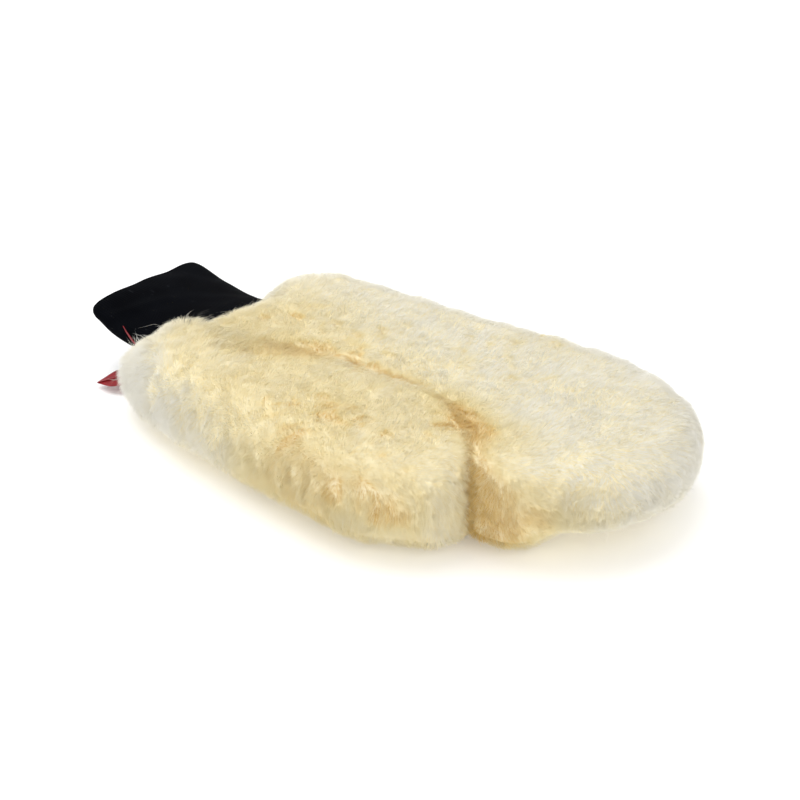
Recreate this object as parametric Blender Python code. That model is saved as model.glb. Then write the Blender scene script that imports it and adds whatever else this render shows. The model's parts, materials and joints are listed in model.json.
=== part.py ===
"""Sheepskin wash mitt with a thumb, a knitted wrist cuff and a ribbon hanging loop.

The mitt lies flat on its lower face. +X runs from the wrist to the fingertips, the thumb is on the -Y
side and +Z is up. Everything is in metres. The shapes are drawn from the wrist end of the wool, where
x and y are 0, and the finished mitt is moved to put its origin on the table under the middle of the
palm.

The shell is two mitten-shaped sheepskins, sewn skin side in around their edge. Each skin is leather
with wool growing out of it, so leather and wool are separate objects here. The soft shell bends where
a hand bends it: across the knuckles, at the root of the thumb, and at the wrist. Each bend is a round
nose on the part that swings, sitting in a hollow of the same centre in the part that holds it.
"""

import math

import bmesh
import bpy
from mathutils import Matrix, Vector

PALM_MIDDLE = Vector((0.060, 0.030, 0.0))  # becomes the origin

# Wool body
FUR_HALF = 0.027  # half the thickness of the mitt lying flat
PILE = 0.016  # wool standing round the skins
SKIN_HALF = FUR_HALF - PILE  # half the thickness of the sewn skins
LEATHER = 0.0014
POCKET_HALF = SKIN_HALF - LEATHER
MID_Z = FUR_HALF  # height of the seam between upper and lower skin

# Plan of the mitt, as edges of its core: the wool reaches FUR_HALF further out on every side
WRIST_X = 0.027
HAND_END_X = 0.2605
HAND_TIP = 0.080  # length of the rounded finger end
HAND_FAR_WRIST_Y = 0.0655
HAND_FAR_TIP_Y = 0.0600
HAND_NEAR_Y = 0.0115  # beside the thumb
HAND_NEAR_TIP_Y = -0.0445  # past the end of the thumb
HAND_FLARE_X = (0.150, 0.235)
SKIN_FLARE_X = (0.168, 0.250)  # the leather turns out later, which leaves wool beside the thumb
THUMB_END_X = 0.185
THUMB_TIP = 0.052
THUMB_FAR_Y = -0.0390
THUMB_NEAR_WRIST_Y = -0.0555
THUMB_NEAR_TIP_Y = -0.0844
THUMB_WRIST_X = 0.010
HEEL_TOP_Y = -0.040  # the heel of the thumb stands out from the wrist end as far as here
WRIST_NEAR_Y = -0.016
TIP_POWER = 2.6  # the rounded ends are superellipses of this power
STRAIGHTENS_X = 0.16  # the far edge runs parallel to X past here

# Bends
GAP = 0.0006  # between parts that move on each other
SEAT = 0.0004  # between parts that only touch
CROTCH_X = 0.115  # knuckle line and root of the free thumb
FINGER_NOSE = FUR_HALF + 0.0002
FINGERS_UP = 60
THUMB_PIVOT_Y = -0.056
THUMB_NOSE = 0.0435
THUMB_OUT = math.radians(30)
SPLIT_Y = -0.020  # the room for the fingers ends here, inside the room for the thumb
GROOVE_Y = -0.012  # between the hand and the root of the thumb
GROOVE_START_X = -0.010
GROOVE_RADIUS = 0.014  # at the crotch

# Knitted cuff
CUFF_END_X = -0.0715
CUFF_WALL = 0.0030  # two layers of rib knit
CUFF_Y = 0.010
CUFF_HALF_WIDTH = 0.0435
CUFF_HALF_HEIGHT = 0.0135
CUFF_END_HALF_WIDTH = 0.0460
CUFF_END_HALF_HEIGHT = 0.0068
CUFF_END_RISE = 0.0105  # the free end stands higher than the wrist
CUFF_POWER = 2.3
CUFF_HINGE_X = -0.013
CUFF_LIP = math.radians(50)  # its sewn end curls in round the bend this far
CUFF_UP = 60
CUFF_DOWN = -20
CUFF_RING_POINTS = 36

# Wrist opening of the skins
NECK_X = 0.0032
NECK_END_X = 0.055
NECK_HALF_WIDTH = 0.0455

# Threads
THREAD = 0.0009
SEAM_OUT = 0.0016  # the edge seam runs this far outside the leather
CHANNEL = 0.0033  # the wool leaves this much room for it
CHANNEL_HALF = 0.0014

# Hanging loop of folded ribbon
LOOP_ROOT = Vector((-0.0225, -0.0280, 0.0098))
LOOP_TIP = Vector((-0.0555, -0.0490, 0.0032))
LOOP_HALF_WIDTH = 0.0085
LOOP_POINT = 0.0100  # length of the pointed fold at its end
LOOP_SLOT_HALF = 0.0014
LOOP_TAIL = 0.0235
RIBBON = 0.0010

COLOURS = {
    "wool": ((0.86, 0.77, 0.55), 0.95),
    "leather": ((0.72, 0.60, 0.42), 0.8),
    "knit": ((0.012, 0.013, 0.020), 0.95),
    "thread": ((0.82, 0.76, 0.62), 0.8),
    "dark_thread": ((0.02, 0.02, 0.03), 0.8),
    "ribbon": ((0.42, 0.01, 0.03), 0.35),
}


# Scene and small helpers


def clear_scene():
    for obj in list(bpy.data.objects):
        bpy.data.objects.remove(obj)


def new_collection(name):
    collection = bpy.data.collections.new(name)
    bpy.context.scene.collection.children.link(collection)
    return collection


def material(kind):
    found = bpy.data.materials.get(kind)
    if found:
        return found
    colour, roughness = COLOURS[kind]
    made = bpy.data.materials.new(kind)
    made.use_nodes = True
    shader = made.node_tree.nodes["Principled BSDF"]
    shader.inputs["Base Color"].default_value = (*colour, 1)
    shader.inputs["Roughness"].default_value = roughness
    shader.inputs["Metallic"].default_value = 0.0
    return made


def show(obj, name, kind):
    """Makes obj a piece of the mitt."""
    obj.name = name
    obj.data.name = name
    obj.data.materials.clear()
    obj.data.materials.append(material(kind))
    for collection in list(obj.users_collection):
        collection.objects.unlink(obj)
    PARTS.objects.link(obj)
    return obj


def helper(obj, name):
    """Makes obj a cutter, which isn't part of the mitt."""
    obj.name = name
    obj.hide_render = True
    obj.display_type = "WIRE"
    for collection in list(obj.users_collection):
        collection.objects.unlink(obj)
    CUTTERS.objects.link(obj)
    return obj


def boolean(obj, operation, tool):
    modifier = obj.modifiers.new(f"{operation.lower()}_{tool.name}", "BOOLEAN")
    modifier.operation = operation
    modifier.object = tool
    modifier.solver = "EXACT"
    return obj


def mesh_of_curve(curve_object):
    """Turns a curve object into a mesh object with welded caps."""
    graph = bpy.context.evaluated_depsgraph_get()
    mesh = bpy.data.meshes.new_from_object(curve_object.evaluated_get(graph))
    bm = bmesh.new()
    bm.from_mesh(mesh)
    bmesh.ops.remove_doubles(bm, verts=bm.verts, dist=1e-6)
    bmesh.ops.recalc_face_normals(bm, faces=bm.faces)
    bm.to_mesh(mesh)
    bm.free()
    made = bpy.data.objects.new(curve_object.name, mesh)
    made.matrix_world = curve_object.matrix_world
    bpy.context.scene.collection.objects.link(made)
    bpy.data.objects.remove(curve_object)
    return made


def box(name, low, high):
    low, high = Vector(low), Vector(high)
    bpy.ops.mesh.primitive_cube_add(size=1, location=(low + high) / 2)
    made = bpy.context.object
    made.data.transform(Matrix.Diagonal((*(high - low), 1)))
    return helper(made, name)


def cylinder(name, centre, axis, radius, length, sides=48):
    bpy.ops.mesh.primitive_cylinder_add(
        vertices=sides, radius=radius, depth=length, location=centre
    )
    made = bpy.context.object
    made.data.transform(Vector((0, 0, 1)).rotation_difference(Vector(axis)).to_matrix().to_4x4())
    return helper(made, name)


def turned(obj, pivot, axis, angle):
    """Turns obj's mesh about an axis through pivot."""
    shift = Matrix.Translation(Vector(pivot) - obj.location)
    obj.data.transform(shift @ Matrix.Rotation(angle, 4, Vector(axis)) @ shift.inverted())
    return obj


def smooth_step(x, low, high):
    t = min(1.0, max(0.0, (x - low) / (high - low)))
    return t * t * (3 - 2 * t)


# Plan outlines of the core


def far_edge(x):
    t = min(1.0, max(0.0, x / STRAIGHTENS_X))
    return HAND_FAR_WRIST_Y + (HAND_FAR_TIP_Y - HAND_FAR_WRIST_Y) * t


def near_edge_of_fingers(x, flare=HAND_FLARE_X):
    t = smooth_step(x, *flare)
    return HAND_NEAR_Y + (HAND_NEAR_TIP_Y - HAND_NEAR_Y) * t


def near_edge_of_finger_skin(x):
    return near_edge_of_fingers(x, SKIN_FLARE_X)


def near_edge_of_thumb(x):
    t = (x - THUMB_WRIST_X) / (THUMB_END_X - THUMB_WRIST_X)
    return THUMB_NEAR_WRIST_Y + (THUMB_NEAR_TIP_Y - THUMB_NEAR_WRIST_Y) * t


def thumb_far_edge(x):
    return THUMB_FAR_Y


def lobe_outline(start, end, tip, far, near, straight=6, round_steps=9):
    """A lobe from a flat end at x = start to a rounded end at x = end, between two edges."""
    stations = [start + (end - tip - start) * i / straight for i in range(straight)]
    points = [(x, 1.0) for x in stations]
    for i in range(round_steps + 1):
        angle = math.pi / 2 * i / round_steps
        along = math.sin(angle) ** (2 / TIP_POWER)
        across = max(math.cos(angle), 0.0) ** (2 / TIP_POWER)
        points.append((end - tip + tip * along, across))
    far_side, near_side = [], []
    for x, share in points:
        middle = (far(x) + near(x)) / 2
        half = (far(x) - near(x)) / 2 * share
        far_side.append((x, middle + half))
        near_side.append((x, middle - half))
    return far_side + near_side[-2::-1]


def round_corner(before, corner, after, reach, steps=5):
    """Points that replace a corner with a smooth turn."""
    corner = Vector(corner)
    start = corner + (Vector(before) - corner).normalized() * reach
    end = corner + (Vector(after) - corner).normalized() * reach
    curve = []
    for i in range(steps + 1):
        t = i / steps
        curve.append(tuple(start * (1 - t) ** 2 + corner * 2 * t * (1 - t) + end * t**2))
    return curve


def palm_outline():
    """The palm and the sewn root of the thumb, from the wrist to past the crotch."""
    steps = 8
    end = CROTCH_X + 2 * FUR_HALF
    stations = [WRIST_X + (end - WRIST_X) * i / steps for i in range(steps + 1)]
    far_side = [(x, far_edge(x)) for x in stations]
    near_side = [(x, near_edge_of_thumb(x)) for x in stations]
    heel = (THUMB_WRIST_X, THUMB_NEAR_WRIST_Y)
    heel_top = (THUMB_WRIST_X, HEEL_TOP_Y)
    wrist = (WRIST_X, WRIST_NEAR_Y)
    near_corner = round_corner(near_side[1], heel, heel_top, 0.007)
    far_corner = round_corner(wrist, far_side[0], far_side[1], 0.010)
    return far_corner + far_side[1:] + near_side[:0:-1] + near_corner + [heel_top, wrist]


def fingers_outline(near):
    return lobe_outline(CROTCH_X - 2 * FUR_HALF, HAND_END_X, HAND_TIP, far_edge, near, 7, 10)


def thumb_outline():
    start = CROTCH_X - 2 * THUMB_NOSE
    return lobe_outline(start, THUMB_END_X, THUMB_TIP, thumb_far_edge, near_edge_of_thumb)


OUTLINES = {
    "palm": palm_outline(),
    "fingers": fingers_outline(near_edge_of_fingers),
    "thumb": thumb_outline(),
}
SKIN_OUTLINES = {**OUTLINES, "fingers": fingers_outline(near_edge_of_finger_skin)}


def corners_of(points):
    """The points of a closed outline without those that lie in the middle of a straight run."""
    kept = []
    for i, (x, y) in enumerate(points):
        x0, y0 = points[i - 1]
        x1, y1 = points[(i + 1) % len(points)]
        if abs((x - x0) * (y1 - y) - (y - y0) * (x1 - x)) > 1e-9:
            kept.append((x, y))
    return kept


def flat_curve(name, splines):
    data = bpy.data.curves.new(name, "CURVE")
    data.dimensions = "2D"
    data.fill_mode = "BOTH"
    for points in map(corners_of, splines):
        spline = data.splines.new("POLY")
        spline.points.add(len(points) - 1)
        for point, (x, y) in zip(spline.points, points):
            point.co = (x, y, 0, 1)
        spline.use_cyclic_u = True
    obj = bpy.data.objects.new(name, data)
    bpy.context.scene.collection.objects.link(obj)
    bpy.context.view_layer.update()
    return obj


def cushion(name, outline, half):
    """A flat solid with round edges: everything within half of the outline at mid height."""
    obj = flat_curve(name, [outline])
    obj.data.bevel_depth = half
    obj.data.bevel_resolution = 2
    obj.location.z = MID_Z
    bpy.context.view_layer.update()
    return mesh_of_curve(obj)


def beside(points, distance):
    """The points of an open or closed plan line moved outwards, to the left of its direction."""
    moved = []
    for i, (x, y) in enumerate(points):
        x0, y0 = points[max(i - 1, 0)]
        x1, y1 = points[min(i + 1, len(points) - 1)]
        length = math.hypot(x1 - x0, y1 - y0)
        moved.append((x - (y1 - y0) / length * distance, y + (x1 - x0) / length * distance))
    return moved


# Cutters


def half_space(side):
    """Everything above or below the seam between the two skins."""
    reach = 0.6
    if side == "upper":
        return box("above_seam", (-reach, -reach, MID_Z + SEAT), (reach, reach, reach))
    return box("below_seam", (-reach, -reach, -reach), (reach, reach, MID_Z - SEAT))


def upright_prism(name, profile, low_y, high_y):
    """A solid of constant section along Y, from (x, height above the seam) points."""
    solid = flat_curve(name, [profile])
    solid.data.extrude = (high_y - low_y) / 2
    bpy.context.view_layer.update()
    solid = mesh_of_curve(solid)
    solid.data.transform(Matrix.Rotation(math.pi / 2, 4, "X"))
    solid.location = (0, (low_y + high_y) / 2, MID_Z)
    return helper(solid, name)


def region_profile(pivot_x, pivot_across, nose):
    """Everything past the pivot, and a round nose behind it."""
    far, wide, steps = 0.4, 0.25, 17
    profile = [(far, -wide), (far, wide), (pivot_x, wide)]
    for i in range(steps + 1):
        angle = math.pi / 2 + math.pi * i / steps
        profile.append((pivot_x + nose * math.cos(angle), pivot_across + nose * math.sin(angle)))
    return [*profile, (pivot_x, -wide)]


def finger_region():
    """Past the knuckle line, with the round nose that turns in the palm."""
    return upright_prism("finger_region", region_profile(CROTCH_X, 0, FINGER_NOSE), -0.2, 0.2)


def thumb_region():
    region = flat_curve("thumb_region", [region_profile(CROTCH_X, THUMB_PIVOT_Y, THUMB_NOSE)])
    region.data.extrude = 0.2
    bpy.context.view_layer.update()
    return helper(mesh_of_curve(region), "thumb_region")


def swept_slab(name, pivot_x, forward, reach, up, down, low_y, high_y):
    """All the room of a slab with a round nose as it turns up and down about a pivot at mid height.

    forward is 1 for a slab that points to +X and -1 for one that points to -X.
    """
    length = 0.3
    steps = 13
    high, low = math.radians(up), math.radians(down)
    profile = []
    for i in range(steps + 1):
        angle = high + math.pi / 2 + (low - high + math.pi) * i / steps
        profile.append((math.cos(angle) * reach, math.sin(angle) * reach))
    for angle, (x, z) in ((low, profile[-1]), (high, profile[0])):
        profile.append((x + math.cos(angle) * length, z + math.sin(angle) * length))
    placed = [(pivot_x + forward * x, z) for x, z in profile]
    return upright_prism(name, placed, low_y, high_y)


def finger_sweep():
    reach = FINGER_NOSE + GAP
    return swept_slab("finger_sweep", CROTCH_X, 1, reach, FINGERS_UP, 0, SPLIT_Y, 0.2)


def thumb_sweep():
    """The room that the root of the thumb needs in the palm."""
    pivot = (CROTCH_X, THUMB_PIVOT_Y, MID_Z)
    room = cylinder("thumb_sweep", pivot, (0, 0, 1), THUMB_NOSE + GAP, 0.2)
    start = CROTCH_X + 0.001
    lobe = lobe_outline(start, THUMB_END_X, THUMB_TIP, thumb_far_edge, near_edge_of_thumb)
    swung = helper(cushion("thumb_swung_out", lobe, FUR_HALF + GAP), "thumb_swung_out")
    turned(swung, pivot, (0, 0, -1), THUMB_OUT)
    return boolean(room, "UNION", swung)


def thumb_groove(side):
    """The valley along the root of the thumb, deeper towards the crotch."""
    length = CROTCH_X + 0.01 - GROOVE_START_X
    height = 2 * FUR_HALF + 0.001 if side == "upper" else -0.001
    bpy.ops.mesh.primitive_cone_add(
        vertices=24,
        radius1=0.001,
        radius2=GROOVE_RADIUS,
        depth=length,
        location=(GROOVE_START_X + length / 2, GROOVE_Y, height),
        rotation=(0, math.pi / 2, 0),
    )
    return helper(bpy.context.object, f"{side}_thumb_groove")


def cuff_sweep():
    reach = CUFF_HALF_HEIGHT + GAP + 0.0004
    half = CUFF_HALF_WIDTH + 0.004
    sides = (CUFF_Y - half, CUFF_Y + half)
    return swept_slab("cuff_sweep", CUFF_HINGE_X, -1, reach, CUFF_UP, CUFF_DOWN, *sides)


def cuff_passage():
    half, height = CUFF_HALF_WIDTH + 0.0035, SKIN_HALF + 0.0018
    low = (CUFF_HINGE_X - 0.01, CUFF_Y - half, MID_Z - height)
    high = (NECK_X + 0.004, CUFF_Y + half, MID_Z + height)
    return box("cuff_passage", low, high)


def loop_room():
    """A slot below the cuff for the root of the hanging loop."""
    low = (LOOP_ROOT.x - 0.02, LOOP_ROOT.y - 0.026, -0.01)
    return box("loop_room", low, (NECK_X, LOOP_ROOT.y + 0.030, MID_Z - SKIN_HALF - SEAT))


# Skins and wool


def neck(name, half, start):
    """The wrist opening, narrower than the palm."""
    core = NECK_HALF_WIDTH - SKIN_HALF
    low, high = CUFF_Y - core, CUFF_Y + core
    outline = [(start, high), (NECK_END_X, high), (NECK_END_X, low), (start, low)]
    return helper(cushion(name, outline, half - 0.0003), name)


def skin_form(body, extra=0.0):
    name = f"{body}_skin_form_{extra * 1e4:.0f}"
    form = helper(cushion(name, SKIN_OUTLINES[body], SKIN_HALF + extra), name)
    if body == "palm":
        boolean(form, "UNION", neck(f"neck_{extra * 1e4:.0f}", SKIN_HALF + extra, NECK_X))
    return form


def pocket_form(body):
    form = helper(cushion(f"{body}_pocket", SKIN_OUTLINES[body], POCKET_HALF), f"{body}_pocket")
    if body == "palm":
        boolean(form, "UNION", neck("neck_pocket", POCKET_HALF, NECK_X - 0.03))
    return form


def seam_channel(body):
    """A flat groove all round the leather's edge, where the seam lies."""
    name = f"{body}_seam_channel"
    form = helper(cushion(name, SKIN_OUTLINES[body], SKIN_HALF + CHANNEL), name)
    low, high = (-0.4, -0.4, MID_Z - CHANNEL_HALF), (0.4, 0.4, MID_Z + CHANNEL_HALF)
    return boolean(form, "INTERSECT", box(f"{name}_height", low, high))


def build_shell():
    halves = {side: half_space(side) for side in ("upper", "lower")}
    palm_region = box("palm_region", (-0.2, -0.3, -0.2), (CROTCH_X - 0.0035, 0.3, 0.2))
    open_wrist = box("open_wrist", (NECK_X, -0.3, -0.2), (0.5, 0.3, 0.2))
    regions = {"palm": palm_region, "fingers": finger_region(), "thumb": thumb_region()}
    palm_cuts = [finger_sweep(), thumb_sweep()]
    wrist_cuts = [cuff_sweep(), cuff_passage()]
    grooves = {side: thumb_groove(side) for side in halves}
    below = loop_room()
    beside_thumb = cushion("beside_thumb", OUTLINES["thumb"], FUR_HALF + GAP)
    # Stretched upwards, the round edge of the thumb becomes an upright wall.
    stretch = Matrix.Diagonal((1, 1, 20, 1))
    beside_thumb.data.transform(stretch)
    helper(beside_thumb, "beside_thumb")
    for body, region in regions.items():
        seat = skin_form(body, SEAT)
        pocket = pocket_form(body)
        channel = seam_channel(body)
        for side, half in halves.items():
            wool = cushion(f"{side}_pile_{body}", OUTLINES[body], FUR_HALF)
            show(wool, f"{side}_pile_{body}", "wool")
            skin = cushion(f"{side}_skin_{body}", SKIN_OUTLINES[body], SKIN_HALF)
            show(skin, f"{side}_skin_{body}", "leather")
            if body == "palm":
                boolean(skin, "UNION", neck(f"{side}_neck", SKIN_HALF, NECK_X))
            for piece in (wool, skin):
                boolean(piece, "INTERSECT", region)
                for cut in palm_cuts if body == "palm" else ():
                    boolean(piece, "DIFFERENCE", cut)
                if body == "fingers":
                    boolean(piece, "DIFFERENCE", beside_thumb)
            boolean(wool, "DIFFERENCE", seat)
            boolean(wool, "DIFFERENCE", channel)
            if body == "palm":
                boolean(skin, "INTERSECT", open_wrist)
                for cut in (*wrist_cuts, grooves[side]):
                    boolean(wool, "DIFFERENCE", cut)
                if side == "lower":
                    boolean(wool, "DIFFERENCE", below)
            boolean(skin, "DIFFERENCE", pocket)
            boolean(wool, "INTERSECT", half)
            boolean(skin, "INTERSECT", half)


# Threads, cuff and loop


def thread(name, points, kind="thread", closed=False, radius=THREAD):
    data = bpy.data.curves.new(name, "CURVE")
    data.dimensions = "3D"
    data.bevel_depth = radius
    data.bevel_resolution = 1
    data.use_fill_caps = True
    spline = data.splines.new("POLY")
    spline.points.add(len(points) - 1)
    for point, place in zip(spline.points, points):
        point.co = (*place, 1)
    spline.use_cyclic_u = closed
    obj = bpy.data.objects.new(name, data)
    bpy.context.scene.collection.objects.link(obj)
    return show(obj, name, kind)


def edge_seam(name, plan):
    """An overlocked edge seam along a plan line that runs with the leather on its right."""
    line = beside(plan, SKIN_HALF + SEAM_OUT)
    return thread(name, [(x, y, MID_Z) for x, y in line])


def build_seams():
    margin = 0.003
    fingers = [p for p in SKIN_OUTLINES["fingers"] if p[0] > CROTCH_X + margin]
    edge_seam("fingertip_seam", fingers)
    thumb = [p for p in OUTLINES["thumb"] if p[0] > CROTCH_X + margin]
    edge_seam("thumb_seam", thumb)
    far_end = CROTCH_X - FUR_HALF - margin
    near_end = CROTCH_X - THUMB_NOSE - margin
    start = WRIST_X + margin
    steps = 6
    far = [start + (far_end - start) * i / steps for i in range(steps + 1)]
    near = [start + (near_end - start) * i / steps for i in range(steps + 1)]
    edge_seam("palm_far_seam", [(x, far_edge(x)) for x in far])
    edge_seam("palm_near_seam", [(x, near_edge_of_thumb(x)) for x in near[::-1]])
    steps = 40
    ring = []
    for i in range(steps):
        angle = math.tau * i / steps
        y, z = oval(angle, NECK_HALF_WIDTH - 0.0030, SKIN_HALF - 0.0020)
        ring.append((NECK_X - THREAD - SEAT, CUFF_Y + y, MID_Z + z))
    thread("wrist_seam", ring, closed=True)


def oval(angle, half_width, half_height):
    """A point of the flattened section that the cuff and the wrist opening share."""
    c, s = math.cos(angle), math.sin(angle)
    power = 2 / CUFF_POWER
    y = math.copysign(abs(c) ** power, c) * half_width
    z = math.copysign(abs(s) ** power, s) * half_height
    return y, z


def cuff_station(x, wall):
    """Centre height and half sizes of the cuff at x, inside its outer face by wall."""
    t = min(1.0, max(0.0, (CUFF_HINGE_X - x) / (CUFF_HINGE_X - CUFF_END_X)))
    rise = CUFF_END_RISE * smooth_step(t, 0, 1)
    half_width = CUFF_HALF_WIDTH + (CUFF_END_HALF_WIDTH - CUFF_HALF_WIDTH) * t - wall
    half_height = CUFF_HALF_HEIGHT + (CUFF_END_HALF_HEIGHT - CUFF_HALF_HEIGHT) * t - wall
    return MID_Z + rise, half_width, half_height


def cuff_ring(x, wall, curl=0.0):
    """One ring of the cuff. A curled ring lies round the bend, in from the widest section."""
    height, half_width, half_height = cuff_station(x, wall)
    x += half_height * math.sin(curl)
    half_height *= math.cos(curl)
    ring = []
    for i in range(CUFF_RING_POINTS):
        y, z = oval(math.tau * i / CUFF_RING_POINTS, half_width, half_height)
        ring.append(Vector((x, CUFF_Y + y, height + z)))
    return ring


def build_cuff():
    """One knitted tube folded double: out along the outer layer, round the fold, back inside."""
    steps = 7
    fold = CUFF_WALL / 2
    curls = [CUFF_LIP, CUFF_LIP * 2 / 3, CUFF_LIP / 3]
    length = CUFF_HINGE_X - CUFF_END_X - fold
    stations = [CUFF_HINGE_X - length * i / steps for i in range(steps + 1)]
    rings = [cuff_ring(CUFF_HINGE_X, 0.0, curl) for curl in curls]
    rings += [cuff_ring(x, 0.0) for x in stations]
    for i in range(1, 4):
        angle = math.pi * i / 4
        x = CUFF_END_X + fold - fold * math.sin(angle)
        rings.append(cuff_ring(x, fold - fold * math.cos(angle)))
    rings += [cuff_ring(x, CUFF_WALL) for x in stations[::-1]]
    rings += [cuff_ring(CUFF_HINGE_X, CUFF_WALL, curl) for curl in curls[::-1]]
    bm = bmesh.new()
    made = [[bm.verts.new(p) for p in ring] for ring in rings]
    for a, b in zip(made, made[1:] + made[:1]):
        for i in range(CUFF_RING_POINTS):
            j = (i + 1) % CUFF_RING_POINTS
            bm.faces.new((a[i], a[j], b[j], b[i]))
    bmesh.ops.recalc_face_normals(bm, faces=bm.faces)
    mesh = bpy.data.meshes.new("knit_cuff")
    bm.to_mesh(mesh)
    bm.free()
    mesh.shade_smooth()
    cuff = bpy.data.objects.new("knit_cuff", mesh)
    bpy.context.scene.collection.objects.link(cuff)
    show(cuff, "knit_cuff", "knit")
    seam = []
    for i in range(6):
        x = CUFF_HINGE_X + (CUFF_END_X + 0.004 - CUFF_HINGE_X) * i / 5
        height, half_width, _ = cuff_station(x, CUFF_WALL + THREAD + SEAT)
        seam.append((x, CUFF_Y - half_width, height))
    thread("cuff_side_seam", seam, "dark_thread", radius=THREAD * 0.9)


def build_loop():
    """A ribbon folded to a point, so that its two strands lie side by side."""
    reach = (LOOP_TIP - LOOP_ROOT).length
    half, slot = LOOP_HALF_WIDTH, LOOP_SLOT_HALF
    shoulder = reach - LOOP_POINT
    outer = [(0.0004, 0.0012), (0.0004, -0.0012), (0.005, -half), (shoulder, -half), (reach, 0)]
    outer += [(shoulder, half), (0.005, half)]
    hole_end = reach - LOOP_POINT - 0.002
    hole = [(0.006, slot), (0.006, -slot), (hole_end, -slot), (hole_end + slot, 0), (hole_end, slot)]
    loop = flat_curve("hang_loop", [outer, hole])
    loop.data.extrude = RIBBON / 2
    bpy.context.view_layer.update()
    loop = mesh_of_curve(loop)
    along = (LOOP_TIP - LOOP_ROOT).normalized()
    across = Vector((0, 0, 1)).cross(along).normalized()
    up = along.cross(across)
    turn = Matrix((along, across, up)).transposed().to_4x4()
    loop.data.transform(turn)
    loop.location = LOOP_ROOT
    show(loop, "hang_loop", "ribbon")
    back = along * -0.0006
    root_end = LOOP_ROOT + back
    tail = bpy.data.objects.new("loop_root", bpy.data.meshes.new("loop_root"))
    bm = bmesh.new()
    bmesh.ops.create_cube(bm, size=1)
    bm.transform(Matrix.Diagonal((LOOP_TAIL, 2 * half, RIBBON, 1)))
    bm.to_mesh(tail.data)
    bm.free()
    tail.data.transform(Matrix.Translation((-LOOP_TAIL / 2, 0, 0)))
    tail.data.transform(turn)
    tail.location = root_end
    bpy.context.scene.collection.objects.link(tail)
    show(tail, "loop_root", "ribbon")
    stitch_from = root_end - along * 0.004 + up * (RIBBON / 2 + THREAD * 0.7 + SEAT)
    ends = [stitch_from + across * (half - 0.001) * s for s in (-1, -0.3, 0.3, 1)]
    thread("loop_bar_tack", [tuple(p) for p in ends], "dark_thread", radius=THREAD * 0.6)


def shell_pieces(body):
    return [f"{side}_{kind}_{body}" for side in ("upper", "lower") for kind in ("pile", "skin")]


def hang_on_joint(name, pivot, pieces):
    """Parents the pieces that swing together to an empty on the axis they swing about."""
    joint = bpy.data.objects.new(name, None)
    joint.empty_display_size = 0.02
    joint.location = pivot
    PARTS.objects.link(joint)
    for piece in pieces:
        obj = bpy.data.objects[piece]
        obj.parent = joint
        obj.location -= joint.location


def hang_all_on_joints():
    knuckles = (CROTCH_X, 0, MID_Z)
    thumb_root = (CROTCH_X, THUMB_PIVOT_Y, MID_Z)
    wrist = (CUFF_HINGE_X, CUFF_Y, MID_Z)
    hang_on_joint("finger_curl", knuckles, [*shell_pieces("fingers"), "fingertip_seam"])
    hang_on_joint("thumb_spread", thumb_root, [*shell_pieces("thumb"), "thumb_seam"])
    hang_on_joint("cuff_bend", wrist, ["knit_cuff", "cuff_side_seam"])
    hang_on_joint("loop_swing", LOOP_ROOT, ["hang_loop"])


def move_to_frame():
    for obj in [*PARTS.objects, *CUTTERS.objects]:
        if not obj.parent:
            obj.location -= PALM_MIDDLE


clear_scene()
PARTS = new_collection("wash_mitt")
CUTTERS = new_collection("cutters")
build_shell()
build_seams()
build_cuff()
build_loop()
hang_all_on_joints()
move_to_frame()
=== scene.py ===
import json
import math

import bmesh
import bpy
import numpy as np
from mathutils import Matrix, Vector
from mathutils.kdtree import KDTree


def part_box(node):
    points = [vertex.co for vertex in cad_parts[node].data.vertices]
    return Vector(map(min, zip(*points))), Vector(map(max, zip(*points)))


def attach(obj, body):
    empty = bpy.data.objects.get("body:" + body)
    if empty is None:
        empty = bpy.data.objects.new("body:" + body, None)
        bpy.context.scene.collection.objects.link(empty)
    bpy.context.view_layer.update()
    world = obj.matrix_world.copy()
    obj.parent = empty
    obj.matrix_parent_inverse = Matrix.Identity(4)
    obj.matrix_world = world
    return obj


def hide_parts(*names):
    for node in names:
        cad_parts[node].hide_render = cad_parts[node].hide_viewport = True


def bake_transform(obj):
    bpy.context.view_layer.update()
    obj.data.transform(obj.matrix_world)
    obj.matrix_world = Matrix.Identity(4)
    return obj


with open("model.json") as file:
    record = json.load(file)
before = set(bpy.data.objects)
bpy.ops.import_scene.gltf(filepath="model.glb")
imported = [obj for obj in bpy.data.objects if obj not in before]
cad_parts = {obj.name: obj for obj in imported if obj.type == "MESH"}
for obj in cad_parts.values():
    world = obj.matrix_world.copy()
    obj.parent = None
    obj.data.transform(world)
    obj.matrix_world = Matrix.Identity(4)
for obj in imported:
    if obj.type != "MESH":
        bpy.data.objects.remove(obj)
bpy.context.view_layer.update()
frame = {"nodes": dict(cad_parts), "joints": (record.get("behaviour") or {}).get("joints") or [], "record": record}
SEED = 7

# ---------------------------------------------------------------- sizes, in metres

HINGES = {joint["name"]: Vector(joint["pos_m"]) for joint in frame["joints"]}
PALM_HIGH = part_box("upper_pile_palm")[1]
FINGERS_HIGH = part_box("upper_pile_fingers")[1]
THUMB_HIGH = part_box("upper_pile_thumb")[1]
CUFF_LOW, CUFF_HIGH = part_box("knit_cuff")
LOOP_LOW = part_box("hang_loop")[0]

FUR_HALF = PALM_HIGH.z / 2  # half the thickness of the mitt lying flat
MID_Z = FUR_HALF
UNDER = 0.0034  # the strands are rooted this far below the outer surface
CROTCH_X = HINGES["finger_curl"].x
CUFF_HINGE = HINGES["cuff_bend"]
CUFF_Y = CUFF_HINGE.y

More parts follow.
